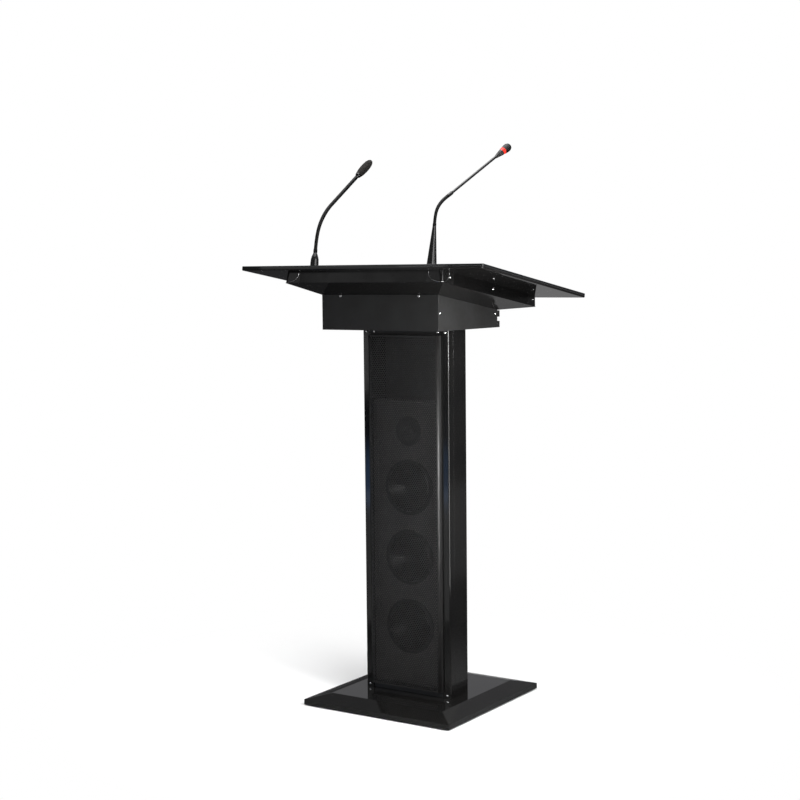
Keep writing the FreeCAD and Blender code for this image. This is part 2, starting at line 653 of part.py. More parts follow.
hopper = make_body("hopper_cowl", DESK)
loft_ends = []
for skin in ("0", "hopper_skin"):
    low_ring = new_sketch(hopper, "XY_Plane", "-console_drop")
    rectangle(low_ring, f"{skin} - console_width / 2", f"{LID_START} + {skin}",
              f"console_width / 2 - {skin}", f"{LID_END} - {skin}")
    high_ring = new_sketch(hopper, "XY_Plane", TRAY_LOW)
    rectangle(high_ring, f"{skin} - tray_width / 2", f"tray_start + {skin}",
              f"tray_width / 2 - {skin}", f"{TRAY_END} - {skin}")
    loft_ends.append((low_ring, high_ring))
outer_loft = hopper.newObject("PartDesign::AdditiveLoft", "hopper_outer")
outer_loft.Profile, outer_loft.Sections = loft_ends[0][0], [loft_ends[0][1]]
outer_loft.Ruled = True
doc.recompute()
inner_loft = hopper.newObject("PartDesign::SubtractiveLoft", "hopper_inner")
inner_loft.Profile, inner_loft.Sections = loft_ends[1][0], [loft_ends[1][1]]
inner_loft.Ruled = True
doc.recompute()
node(hopper)

floor_inset = "rail_depth + 0.3"
tray_floor = plate("tray_floor", f"{floor_inset} - tray_width / 2", f"tray_width / 2 - ({floor_inset})",
                   f"tray_start + {floor_inset}", f"{TRAY_END} - ({floor_inset})", TRAY_LOW,
                   f"{TRAY_LOW} + tray_sheet", DESK)
cable_places = [("0", "tray_start + tray_length / 2")]
drill(tray_floor, cable_places, "cable_hole", f"{TRAY_LOW} + tray_sheet", "tray_sheet")
cleared = new_sketch(tray_floor, "XY_Plane", f"{TRAY_LOW} + tray_sheet")
for i in (-1, 1):
    for y0, y1 in (("tray_start", "tray_start + cap_size + 0.3"),
                   (f"{TRAY_END} - cap_size - 0.3", TRAY_END)):
        x0, x1 = span("tray_width / 2 - cap_size - 0.3", "tray_width / 2", i)
        rectangle(cleared, x0, y0, x1, y1)
pocket(tray_floor, cleared, "tray_sheet")


def rail(label, heading, length, centre):
    """C-section rail, open towards the middle of the tray, centred at a place of the desk's frame."""
    frame = DESK * Placement(centre, Rotation(Z_AXIS, heading))
    body = make_body(label, frame)
    section = new_sketch(body, "YZ_Plane", f"-({length}) / 2")
    outline(section, [
        ("0", FRAME_LOW), ("0", TRAY_LOW), ("rail_depth", TRAY_LOW),
        ("rail_depth", f"{TRAY_LOW} + rail_wall"), ("rail_wall", f"{TRAY_LOW} + rail_wall"),
        ("rail_wall", f"{FRAME_LOW} - rail_wall"), ("rail_depth", f"{FRAME_LOW} - rail_wall"),
        ("rail_depth", FRAME_LOW)])
    pad(body, section, length)
    return body


half_tray = size("tray_width / 2")
tray_mid = size("tray_start + tray_length / 2")
cross_length = "tray_width - 2 * cap_size - 0.4"
slope_length = "tray_length - 2 * cap_size - 0.4"
gather("tray_cross_rails", [
    rail("tray_rail_front", 0, cross_length, Vector(0, size("tray_start"), 0)),
    rail("tray_rail_rear", 180, cross_length, Vector(0, size(TRAY_END), 0))])
gather("tray_side_rails", [
    rail("tray_rail_left", -90, slope_length, Vector(-half_tray, tray_mid, 0)),
    rail("tray_rail_right", 90, slope_length, Vector(half_tray, tray_mid, 0))])


def corner_cap():
    """Cast cup over a tray corner: its outer corner tightens towards the bottom."""
    cap = make_body("corner_cap_shape")
    rings = []
    for level, radius in ((TRAY_LOW, "cap_round_low"), (FRAME_LOW, "cap_round_top")):
        ring = new_sketch(cap, "XY_Plane", level)
        r = size(radius)
        c = size("cap_size")
        points = [Vector(r, 0, 0), Vector(c, 0, 0), Vector(c, c, 0), Vector(0, c, 0), Vector(0, r, 0)]
        ends = [(radius, "0"), ("cap_size", "0"), ("cap_size", "cap_size"), ("0", "cap_size"),
                ("0", radius)]
        for i in range(4):
            ring.addGeometry(Part.LineSegment(points[i], points[i + 1]))
            pin(ring, i, 1, *ends[i])
        pin(ring, 3, 2, *ends[4])
        for i in range(3):
            ring.addConstraint(Sketcher.Constraint("Coincident", i, 2, i + 1, 1))
        circle_of_corner = Part.Circle(Vector(r, r, 0), Z_AXIS, r)
        arc = ring.addGeometry(Part.ArcOfCircle(circle_of_corner, math.pi, 1.5 * math.pi))
        ring.addConstraint(Sketcher.Constraint("Coincident", 3, 2, arc, 1))
        ring.addConstraint(Sketcher.Constraint("Coincident", arc, 2, 0, 1))
        index = ring.addConstraint(Sketcher.Constraint("Radius", arc, r))
        ring.setExpression(f"Constraints[{index}]", full(radius))
        rings.append(ring)
    cup = cap.newObject("PartDesign::AdditiveLoft", "corner_cap_cup")
    cup.Profile, cup.Sections = rings[0], [rings[1]]
    doc.recompute()
    return cap


repeat("corner_caps", corner_cap(), [
    DESK * Placement(Vector(x, size(y), 0), Rotation(Z_AXIS, heading)) for x, y, heading in (
        (-half_tray, "tray_start", 0), (half_tray, "tray_start", 90),
        (half_tray, TRAY_END, 180), (-half_tray, TRAY_END, 270))])

frame_panel = make_body("desk_frame", DESK)
frame_sketch = new_sketch(frame_panel, "XY_Plane", FRAME_LOW)
rounded_rectangle(frame_sketch, "-desk_width / 2", "0", "desk_width / 2", "desk_length", "desk_corner")
pad(frame_panel, frame_sketch, "frame_thick - 0.1")
round_edges(frame_panel, "2.4", lambda e: e.CenterOfMass.z < size(FRAME_LOW) + 0.1)
MIC_HOLES = [(mirrored("mic_spread", i), "mic_setback") for i in (-1, 1)]
drill(frame_panel, MIC_HOLES, "12.2", "0", "glass_thick + frame_thick + 1")
node(frame_panel)
glass = make_body("desk_glass", DESK)
glass_sketch = new_sketch(glass, "XY_Plane", "-glass_thick")
rounded_rectangle(glass_sketch, "-desk_width / 2", "0", "desk_width / 2", "desk_length", "desk_corner")
pad(glass, glass_sketch, "glass_thick")
round_edges(glass, "0.8", lambda e: e.CenterOfMass.z > -0.1)
drill(glass, MIC_HOLES, "12.2", "0.5", "glass_thick + 1")
node(glass)

# ---------------------------------------------------------------- small screws
trim_screw = fastener("trim_screw_shape", "3", "1.4", "1.5", "6", cross("1.6", "0.4"))
TO_RIGHT = Rotation(Y_AXIS, 90)
TO_LEFT = Rotation(Y_AXIS, -90)
front_y = size("column_front")
console_x = size("console_width / 2")
tray_level = size(f"({FRAME_LOW} + {TRAY_LOW}) / 2") + 1.5
trim_places = [Placement(Vector(i * x, y, z), FACING_AUDIENCE) for i in (-1, 1)
               for x, y, z in ((120.5, front_y, 37), (120.5, front_y, 977), (98, front_y + 3, 977))]
trim_places += [Placement(Vector(i * 123, size("column_back"), z), FACING_SPEAKER) for i in (-1, 1)
                for z in (60, 350, 660, 955)]
trim_places += [Placement(Vector(i * 164, size("console_back"), z), FACING_SPEAKER) for i in (-1, 1)
                for z in (992, 1024)]
trim_places += [Placement(Vector(x, size("console_front"), 1071.3), FACING_AUDIENCE) for x in (-119, 119)]
for sign, facing in ((1, TO_RIGHT), (-1, TO_LEFT)):
    trim_places += [Placement(Vector(sign * console_x, y, z), facing) for y, z in ((-179, 1030), (92, 1020))]
    trim_places += [DESK * Placement(
        Vector(sign * half_tray, size(f"tray_screw_start + {i} * tray_screw_pitch"), tray_level), facing)
        for i in range(3)]
repeat("trim_screws", trim_screw, trim_places)

# ---------------------------------------------------------------- microphones
# Local frames: Z along the microphone away from the desk, X towards the side it leans to.
def mic_frame(sign):
    """Frame on the desk's top face at a microphone's socket."""
    return DESK * Placement(Vector(sign * size("mic_spread"), size("mic_setback"), 0),
                            Rotation(Z_AXIS, size("mic_turn")))


def sphere(body, kind, radius, place):
    """Add or take away a ball at a place of the body's own frame."""
    feature = body.newObject(kind, body.Name + "_sphere")
    feature.Radius = size(radius)
    feature.setExpression("Radius", full(radius))
    feature.Placement = place
    doc.recompute()


def neck(label, frame, radius, seat, lead, bend, angle, tail):
    """Gooseneck length: straight lead, arc, straight tail; a seat over the ball below, a ball on top.

    Returns the frame at its upper end.
    """
    body = make_body(label, frame)
    path = new_sketch(body, "XZ_Plane")
    swing = math.radians(angle)
    arc_end = Vector(bend * (1 - math.cos(swing)), lead + bend * math.sin(swing), 0)
    top = arc_end + Vector(math.sin(swing), math.cos(swing), 0) * tail
    path.addGeometry(Part.LineSegment(Vector(0, 0, 0), Vector(0, lead, 0)))
    arc = Part.Circle(Vector(bend, lead, 0), Z_AXIS, bend)
    path.addGeometry(Part.ArcOfCircle(arc, math.pi - swing, math.pi))
    path.addConstraint(Sketcher.Constraint("Tangent", 0, 2, 1, 2))
    if tail:
        path.addGeometry(Part.LineSegment(arc_end, top))
        path.addConstraint(Sketcher.Constraint("Tangent", 1, 1, 2, 1))
    ring = new_sketch(body)
    circle(ring, "0", "0", radius)
    tube = body.newObject("PartDesign::AdditivePipe", label + "_tube")
    tube.Profile = ring
    tube.Spine = path
    doc.recompute()
    upper = Placement(Vector(top.x, 0, top.y), Rotation(Y_AXIS, angle))
    sphere(body, "PartDesign::SubtractiveSphere", seat, Placement())
    sphere(body, "PartDesign::AdditiveSphere", radius, upper)
    node(body)
    return frame * upper


socket = make_body("mic_socket_shape")
tube_sketch = new_sketch(socket, "XY_Plane", FRAME_LOW)
circle(tube_sketch, "0", "0", "12")
circle(tube_sketch, "0", "0", "socket_bore")
pad(socket, tube_sketch, "glass_thick + frame_thick")
lip = new_sketch(socket)
circle(lip, "0", "0", "socket_radius")
circle(lip, "0", "0", "socket_bore")
pad(socket, lip, "socket_rise")
repeat("mic_sockets", socket, [mic_frame(-1), mic_frame(1)])

PLUG = "socket_bore - plug_play"
LEFT_BALLS = ("4.9", "4.5", "4.1")
RIGHT_BALLS = ("4.3", "3.9", "3.5")

# Left microphone: short shouldered boot, evenly curved neck, oval windscreen.
left = mic_frame(-1)
boot = lathe("mic_left_boot", [
    ("0", "-10"), (f"{PLUG} - 1", "-10"), (PLUG, "-9"), (PLUG, "socket_rise + 0.1"),
    ("10.6", "socket_rise + 0.1"), ("10.6", "16"), ("10", "26"), ("8.6", "32"), ("5.6", "40"),
    ("4.6", "42.5"), ("0", "42.5")], left)
sphere(boot, "PartDesign::AdditiveSphere", LEFT_BALLS[0], Placement(Vector(0, 0, 46), Rotation()))
elbow = left * Placement(Vector(0, 0, 46), Rotation())
elbow = neck("mic_left_neck_lower", elbow, LEFT_BALLS[1], f"{LEFT_BALLS[0]} + ball_play", 22, 155, 21, 0)
elbow = neck("mic_left_neck_middle", elbow, LEFT_BALLS[2], f"{LEFT_BALLS[1]} + ball_play", 3, 155, 20, 0)
stem = lathe("mic_left_neck_upper", [("0", "0"), ("3.7", "0"), ("3.7", "112"), ("0", "112")], elbow)
sphere(stem, "PartDesign::SubtractiveSphere", f"{LEFT_BALLS[2]} + ball_play", Placement())
lathe("mic_left_collar", [("0", "112"), ("3.9", "112"), ("4.6", "114"), ("7.4", "119"), ("7.4", "122"),
                          ("0", "122")], elbow)
lathe("mic_left_windscreen", [
    ("0", "122"), ("8", "122"), ("10", "132"), ("10.9", "144"), ("10.9", "154"), ("9.8", "166"),
    ("7.6", "174"), ("4.4", "179"), ("0", "181")], elbow)

# Right microphone: tall cone, tight bend, ferrule and thin tube, head with a light ring.
right = mic_frame(1)
cone = lathe("mic_right_boot", [
    ("0", "-10"), (f"{PLUG} - 1", "-10"), (PLUG, "-9"), (PLUG, "socket_rise + 0.1"),
    ("13", "socket_rise + 0.1"), ("12.6", "5"), ("4.6", "101"), ("4.1", "102"), ("0", "102")], right)
sphere(cone, "PartDesign::AdditiveSphere", RIGHT_BALLS[0], Placement(Vector(0, 0, 105), Rotation()))
elbow = right * Placement(Vector(0, 0, 105), Rotation())
elbow = neck("mic_right_neck_lower", elbow, RIGHT_BALLS[1], f"{RIGHT_BALLS[0]} + ball_play", 16, 65, 25, 0)
elbow = neck("mic_right_neck_middle", elbow, RIGHT_BALLS[2], f"{RIGHT_BALLS[1]} + ball_play", 3, 62, 25, 8)
tube = lathe("mic_right_tube", [
    ("0", "0"), ("3.2", "0"), ("3.2", "8"), ("4.6", "9"), ("4.6", "24"), ("3.8", "25"), ("3.3", "27"),
    ("3.3", "200"), ("0", "200")], elbow)
sphere(tube, "PartDesign::SubtractiveSphere", f"{RIGHT_BALLS[2]} + ball_play", Placement())
lathe("mic_right_head", [("0", "200"), ("3.6", "200"), ("7.6", "223"), ("7.6", "224"), ("0", "224")], elbow)
lathe("mic_right_light_ring", [("0", "224"), ("7.8", "224"), ("9.2", "232"), ("0", "232")], elbow)
lathe("mic_right_capsule", [
    ("0", "232"), ("9", "232"), ("10.3", "243"), ("10.1", "249"), ("8", "254"), ("4.6", "257"),
    ("0", "258")], elbow)

# ---------------------------------------------------------------- check and write
doc.recompute()
for obj in doc.Objects:
    if "Invalid" in obj.State or "Error" in obj.State:
        raise RuntimeError(f"{obj.Label}: {obj.State}")
for piece in NODES:
    if piece.Shape.isNull() or not piece.Shape.isValid() or not piece.Shape.Solids:
        raise RuntimeError(f"{piece.Label}: its shape is not a valid solid")

os.makedirs("parts", exist_ok=True)
for piece in NODES:
    piece.Shape.exportStep(f"parts/{piece.Label}.step")
    print(f"{piece.Label}: {len(piece.Shape.Solids)} solids, {piece.Shape.Volume / 1000:.1f} cm3")
print(f"{len(NODES)} pieces")
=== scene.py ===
import json
import math

import bpy
from mathutils import Matrix, Vector, geometry, noise


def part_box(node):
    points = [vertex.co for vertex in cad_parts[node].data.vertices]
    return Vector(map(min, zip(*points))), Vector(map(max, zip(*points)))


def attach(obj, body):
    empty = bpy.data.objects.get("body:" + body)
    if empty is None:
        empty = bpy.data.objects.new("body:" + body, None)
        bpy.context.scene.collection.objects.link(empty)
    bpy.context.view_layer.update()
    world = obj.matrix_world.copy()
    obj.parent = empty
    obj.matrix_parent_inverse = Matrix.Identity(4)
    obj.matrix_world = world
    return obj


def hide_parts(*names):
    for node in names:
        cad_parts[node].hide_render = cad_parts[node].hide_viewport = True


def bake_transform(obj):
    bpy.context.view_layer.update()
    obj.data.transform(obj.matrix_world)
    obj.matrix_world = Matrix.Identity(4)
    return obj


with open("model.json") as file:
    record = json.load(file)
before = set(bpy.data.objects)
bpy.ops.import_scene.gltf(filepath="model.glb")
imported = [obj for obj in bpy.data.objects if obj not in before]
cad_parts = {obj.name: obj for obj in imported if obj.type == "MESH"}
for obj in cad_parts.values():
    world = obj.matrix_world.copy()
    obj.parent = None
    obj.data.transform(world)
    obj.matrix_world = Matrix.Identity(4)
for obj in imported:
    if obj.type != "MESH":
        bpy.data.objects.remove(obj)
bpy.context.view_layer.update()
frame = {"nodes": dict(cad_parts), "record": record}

MM = 0.001
NODES = frame["nodes"]
JOINTS = {joint["name"]: joint for joint in frame["record"]["behaviour"]["joints"]}
SLOTS = {part["node"]: part["material_slot"] for part in frame["record"]["subparts"]}
X_AXIS = Vector((1, 0, 0))


# ---------------------------------------------------------------- camera and light
CAMERA_PLACE = (2.1879, -3.4184, 1.1347)
CAMERA_YAW, CAMERA_PITCH, CAMERA_ROLL = 33.36, -4.77, -0.56  # degrees
CAMERA_LENS, CAMERA_SENSOR = 69.74, 36  # mm
BACKDROP = 1.0  # tone that the camera sees behind the lectern
ROOM_TONES = ((0.0, 0.30), (0.3, 0.27), (0.5, 0.15), (0.7, 0.10))  # height in the world, tone
ROOM_WINDOW = (-0.55, 0.83, 0)  # direction in which the mirrored room is brightest
ROOM_STRENGTH = {"From Min": 0.45, "From Max": 1, "To Min": 0.28, "To Max": 1.15}  # towards it
WHITE, COOL = (1, 1, 1), (0.25, 0.5, 1.0)

# Name, place, target, width, height, watts, colour. The overhead box lights the floor; each of the
# others stands where a face of the lectern mirrors it towards the camera.
SOFTBOXES = (
    ("overhead", (0, -0.2, 3.6), (0, -0.1, 0), 3.0, 3.0, 165, WHITE),
    ("right_front", (2.3, -1.5, 1.9), (0, 0, 0.9), 1.2, 1.4, 32, WHITE),
    ("right_strip", (0.42, -0.27, 0.64), (0.15, -0.15, 0.64), 0.09, 0.8, 4.2, WHITE),
    ("right_back", (1.05, 1.45, 0.17), (0.15, 0, 0.4), 0.9, 0.34, 0.11, WHITE),
    ("corner_key", (0.66, -0.62, 1.07), (0.2, -0.25, 1.07), 0.24, 0.1, 1.5, WHITE),
    ("console_side", (0.6, -0.22, 0.92), (0.17, -0.16, 0.95), 0.12, 0.14, 2.2, WHITE),
    ("right_far", (2.4, -0.1, 1.45), (0.1, -0.2, 1.2), 0.9, 0.5, 9, WHITE),
    ("left_front", (-1.3, -2.66, 1.25), (0, 0, 0.9), 0.8, 0.7, 1.0, WHITE),
    ("high_front", (-1.75, -2.65, 1.95), (0, 0, 1.1), 0.8, 0.6, 0.62, WHITE),
    ("low_left", (-0.45, -0.82, 0.23), (0, -0.16, 0.35), 0.36, 0.42, 0.2, WHITE),
    ("pale_window", (-1.32, -1.68, 0.78), (-0.12, -0.07, 0.85), 0.16, 0.24, 0.15, WHITE),
    ("low_front", (0.6, -3.1, 0.55), (0, 0, 0.55), 0.2, 1.3, 9, WHITE),
    ("low_back", (0.05, 0.53, 0.86), (0.29, 0.1, 1.06), 0.42, 0.36, 0.11, WHITE),
    ("cool_window", (-1.13, -1.72, 0.33), (0, 0, 0.6), 0.45, 0.22, 0.3, COOL),
    ("back", (0.6, 2.6, 2.2), (0, 0, 0.9), 1.6, 1.4, 6, WHITE),
)


def place_camera():
    """Long lens at the height of the desk, off the lectern's right front corner."""
    camera = bpy.data.objects.new("camera", bpy.data.cameras.new("camera"))
    bpy.context.scene.collection.objects.link(camera)
    camera.data.sensor_width = CAMERA_SENSOR
    camera.data.lens = CAMERA_LENS
    camera.data.clip_end = 100
    turn = Matrix.Rotation(math.radians(CAMERA_YAW), 4, "Z")
    tilt = Matrix.Rotation(math.radians(90 + CAMERA_PITCH), 4, "X")
    roll = Matrix.Rotation(math.radians(CAMERA_ROLL), 4, "Z")
    camera.matrix_world = Matrix.Translation(CAMERA_PLACE) @ turn @ tilt @ roll
    bpy.context.scene.camera = camera


def softbox(name, place, target, width, height, power, colour):
    """Rectangular studio light that the camera doesn't see."""
    data = bpy.data.lights.new(name, "AREA")
    data.shape = "RECTANGLE"
    data.size, data.size_y = width, height
    data.energy = power
    data.color = colour
    light = bpy.data.objects.new(name, data)
    bpy.context.scene.collection.objects.link(light)
    light.location = place
    light.rotation_euler = (Vector(target) - Vector(place)).to_track_quat("-Z", "Y").to_euler()
    light.visible_camera = False


def mirrored_room(tree):
    """Dim room for the gloss to mirror: darker upwards, brighter towards its window wall."""
    link = tree.links.new
    where = tree.nodes.new("ShaderNodeTexCoord")
    split = tree.nodes.new("ShaderNodeSeparateXYZ")
    heights = tree.nodes.new("ShaderNodeValToRGB")
    stops = heights.color_ramp.elements
    stops.new(0.3)
    stops.new(0.5)
    for stop, (position, level) in zip(stops, ROOM_TONES):
        stop.position = position
        stop.color = (level, level, level * 1.04, 1)
    window = tree.nodes.new("ShaderNodeVectorMath")
    window.operation = "DOT_PRODUCT"
    window.inputs[1].default_value = ROOM_WINDOW
    depths = tree.nodes.new("ShaderNodeMapRange")
    for socket, value in ROOM_STRENGTH.items():
        depths.inputs[socket].default_value = value
    room = tree.nodes.new("ShaderNodeBackground")
    link(where.outputs["Generated"], split.inputs[0])
    link(split.outputs["Z"], heights.inputs["Fac"])
    link(where.outputs["Generated"], window.inputs[0])
    link(window.outputs["Value"], depths.inputs["Value"])
    link(depths.outputs["Result"], room.inputs["Strength"])
    link(heights.outputs["Color"], room.inputs["Color"])
    return room


def light_studio():
    """Dim room in the reflections, pale backdrop for the camera, soft lights round the lectern."""
    scene = bpy.context.scene
    scene.view_settings.view_transform = "Standard"
    world = bpy.data.worlds.new("studio")
    scene.world = world
    world.use_nodes = True
    tree = world.node_tree
    tree.nodes.clear()
    room = mirrored_room(tree)
    pale = tree.nodes.new("ShaderNodeBackground")
    pale.inputs["Color"].default_value = (BACKDROP, BACKDROP, BACKDROP, 1)
    rays = tree.nodes.new("ShaderNodeLightPath")
    mix = tree.nodes.new("ShaderNodeMixShader")
    out = tree.nodes.new("ShaderNodeOutputWorld")
    link = tree.links.new
    link(rays.outputs["Is Camera Ray"], mix.inputs[0])
    link(room.outputs[0], mix.inputs[1])
    link(pale.outputs[0], mix.inputs[2])
    link(mix.outputs[0], out.inputs[0])
    for settings in SOFTBOXES:
        softbox(*settings)


FLOOR_REACH = 30  # radius of the floor, metres
FLOOR_FADE = (0.25, 1.0)  # distances between which the floor melts into the backdrop, metres
FLOOR_TONE, FLOOR_TONE_MIRRORED = 0.95, 0.22  # near the lectern, as lit and as the gloss sees it
FAR_FLOOR_MIRRORED = (0.035, 0.035, 0.037)  # away from the lectern, as the gloss sees it


def tone_switch(tree, rays, output, plain, chosen):
    """Colour that changes from plain to chosen for one kind of ray."""
    switch = tree.nodes.new("ShaderNodeMix")
    switch.data_type = "RGBA"
    switch.inputs["A"].default_value = (*plain, 1)
    switch.inputs["B"].default_value = (*chosen, 1)
    tree.links.new(rays.outputs[output], switch.inputs["Factor"])
    return switch.outputs["Result"]


def floor_material():
    """Matt pale paint near the lectern, the backdrop's own glow farther out, dim in reflections."""
    material = bpy.data.materials.new("pale_floor")
    material.use_nodes = True
    tree = material.node_tree
    tree.nodes.clear()
    link = tree.links.new
    rays = tree.nodes.new("ShaderNodeLightPath")
    matt = tree.nodes.new("ShaderNodeBsdfDiffuse")
    link(tone_switch(tree, rays, "Is Glossy Ray", (FLOOR_TONE,) * 3, (FLOOR_TONE_MIRRORED,) * 3),
         matt.inputs["Color"])
    glow = tree.nodes.new("ShaderNodeEmission")
    link(tone_switch(tree, rays, "Is Camera Ray", FAR_FLOOR_MIRRORED, (BACKDROP,) * 3),
         glow.inputs["Color"])
    where = tree.nodes.new("ShaderNodeTexCoord")
    reach = tree.nodes.new("ShaderNodeVectorMath")
    reach.operation = "LENGTH"
    fade = tree.nodes.new("ShaderNodeMapRange")
    fade.interpolation_type = "SMOOTHSTEP"
    fade.inputs["From Min"].default_value, fade.inputs["From Max"].default_value = FLOOR_FADE
    mix = tree.nodes.new("ShaderNodeMixShader")
    out = tree.nodes.new("ShaderNodeOutputMaterial")
    link(where.outputs["Object"], reach.inputs[0])
    link(reach.outputs["Value"], fade.inputs["Value"])
    link(fade.outputs["Result"], mix.inputs[0])
    link(matt.outputs[0], mix.inputs[1])
    link(glow.outputs[0], mix.inputs[2])
    link(mix.outputs[0], out.inputs[0])
    return material


def lay_floor():
    """Round floor that melts into the backdrop away from the lectern."""
    rim = [(FLOOR_REACH * math.cos(math.radians(a)), FLOOR_REACH * math.sin(math.radians(a)), 0)
           for a in range(0, 360, 5)]
    mesh = bpy.data.meshes.new("floor")
    mesh.from_pydata(rim, [], [list(range(len(rim)))])
    mesh.materials.append(floor_material())
    floor = bpy.data.objects.new("floor", mesh)
    bpy.context.scene.collection.objects.link(floor)


# ---------------------------------------------------------------- materials
class Finish:
    """A node material built round one Principled shader, in the pieces' own metres."""

    def __init__(self, name, **constants):
        self.material = bpy.data.materials.new(name)
        self.material.use_nodes = True
        self.tree = self.material.node_tree
        self.shader = self.tree.nodes["Principled BSDF"]
        self.where = self.tree.nodes.new("ShaderNodeTexCoord").outputs["Object"]
        self.normal = None
        for socket, value in constants.items():
            self.shader.inputs[socket.replace("_", " ")].default_value = value

    def noise(self, size, detail=2, stretch=None, distortion=0):
        """Cloudy pattern whose blobs are about so many metres across."""
        node = self.tree.nodes.new("ShaderNodeTexNoise")
        node.inputs["Scale"].default_value = 1 / size
        node.inputs["Detail"].default_value = detail
        node.inputs["Distortion"].default_value = distortion
        where = self.where
        if stretch:
            mapping = self.tree.nodes.new("ShaderNodeMapping")
            mapping.inputs["Scale"].default_value = stretch
            self.tree.links.new(where, mapping.inputs["Vector"])
            where = mapping.outputs["Vector"]
        self.tree.links.new(where, node.inputs["Vector"])
        return node.outputs["Fac"]

    def cells(self, size):
        """Distance to the middle of small cells."""
        node = self.tree.nodes.new("ShaderNodeTexVoronoi")
        node.inputs["Scale"].default_value = 1 / size
        self.tree.links.new(self.where, node.inputs["Vector"])
        return node.outputs["Distance"]

    def spread(self, value, low, high, start=0.3, end=0.7):
        """A pattern's middle range stretched between two numbers."""
        node = self.tree.nodes.new("ShaderNodeMapRange")
        numbers = {"From Min": start, "From Max": end, "To Min": low, "To Max": high}
        for socket, number in numbers.items():
            node.inputs[socket].default_value = number
        self.tree.links.new(value, node.inputs["Value"])
        return node.outputs["Result"]

    def colour(self, value, low, high, start=0.3, end=0.7):
        """Base colour between two tones."""
        node = self.tree.nodes.new("ShaderNodeValToRGB")
        node.color_ramp.elements[0].position = start
        node.color_ramp.elements[0].color = (*low, 1)
        node.color_ramp.elements[1].position = end
        node.color_ramp.elements[1].color = (*high, 1)
        self.tree.links.new(value, node.inputs["Fac"])
        self.tree.links.new(node.outputs["Color"], self.shader.inputs["Base Color"])
        return self

    def rough(self, value, low, high, start=0.3, end=0.7):
        """Roughness that follows a pattern."""
        level = self.spread(value, low, high, start, end)
        self.tree.links.new(level, self.shader.inputs["Roughness"])
        return self

    def bump(self, value, depth, strength=1.0):
        """Relief so many metres deep, on top of any relief already there."""
        node = self.tree.nodes.new("ShaderNodeBump")
        node.inputs["Strength"].default_value = strength
        node.inputs["Distance"].default_value = depth
        self.tree.links.new(value, node.inputs["Height"])
        if self.normal:
            self.tree.links.new(self.normal, node.inputs["Normal"])
        self.normal = node.outputs["Normal"]
        self.tree.links.new(self.normal, self.shader.inputs["Normal"])
        return self

    def soft_edges(self, radius):
        """Edges that catch the light as if broken by a small radius."""
        node = self.tree.nodes.new("ShaderNodeBevel")
        node.samples = 4
        node.inputs["Radius"].default_value = radius
        self.normal = node.outputs["Normal"]
        self.tree.links.new(self.normal, self.shader.inputs["Normal"])
        return self


def grey(level, warm=0.0):
    """Near-neutral tone; warm above zero leans to brown, below to blue."""
    return (level * (1 + warm), level, level * (1 - warm))


def lacquer(name, level, rough, wave):
    """Gloss coat over board or steel: faint orange peel, dulled in patches by handling."""
    finish = Finish(name, Specular_IOR_Level=0.5).soft_edges(0.8 * MM)
    finish.colour(finish.noise(0.09, 3), grey(level), grey(level * 1.35, 0.04))
    finish.rough(finish.noise(0.05, 5, distortion=0.6), rough, rough * 1.9)
    finish.bump(finish.noise(0.0035, 1), wave)
    return finish.material


def powder_coat(name, level, rough, grain):
    """Baked powder paint: fine leathery grain, slight cloudiness."""
    finish = Finish(name, Specular_IOR_Level=0.5).soft_edges(0.7 * MM)
    finish.colour(finish.noise(0.05, 4), grey(level, 0.03), grey(level * 1.4, 0.0))
    finish.rough(finish.noise(0.02, 4), rough * 0.9, rough * 1.15)
    finish.bump(finish.noise(0.0009, 2), grain)
    return finish.material


def plastic(name, level, rough, grain=0.00003, size=0.0008, specular=0.5):
    """Moulded plastic with a fine spark-eroded texture."""
    finish = Finish(name, Specular_IOR_Level=specular)
    finish.colour(finish.noise(0.012, 3), grey(level, -0.03), grey(level * 1.35, 0.0))
    finish.rough(finish.noise(0.006, 4), rough * 0.85, rough * 1.2)
    finish.bump(finish.noise(size, 2), grain)
    return finish.material


def metal(name, low, high, rough, stretch=(1, 1, 1)):
    """Bare or plated metal with a drawn grain and dull spots."""
    finish = Finish(name, Metallic=1.0)
    finish.colour(finish.noise(0.01, 4), low, high)
    finish.rough(finish.noise(0.002, 4, stretch), rough * 0.8, rough * 1.4)
    finish.bump(finish.noise(0.0006, 2, stretch), 0.00001)
    return finish.material


def board():
    """Chipboard stained black: pressed flakes under a thin matt stain."""
    finish = Finish("black_board", Specular_IOR_Level=0.3)
    finish.colour(finish.cells(0.004), grey(0.085), grey(0.13, 0.04), 0.1, 0.8)
    finish.rough(finish.noise(0.01, 3), 0.6, 0.8)
    finish.bump(finish.cells(0.003), 0.00015)
    return finish.material


def cone_paper():
    """Coated pulp cone: black and fibrous, with a sheen that takes a streak of light."""
    finish = Finish("cone_paper", Specular_IOR_Level=0.45)
    finish.colour(finish.noise(0.002, 5), grey(0.006), grey(0.012))
    finish.rough(finish.noise(0.004, 4), 0.16, 0.26)
    finish.bump(finish.noise(0.0012, 4), 0.00002)
    return finish.material


def dome_silk():
    """Coated cloth dome with a fine weave."""
    finish = Finish("dome_silk", Specular_IOR_Level=0.45, Sheen_Weight=0.2)
    finish.colour(finish.noise(0.003, 4), grey(0.02), grey(0.035))
    finish.rough(finish.noise(0.002, 3), 0.4, 0.55)
    finish.bump(finish.cells(0.0005), 0.00004)
    return finish.material


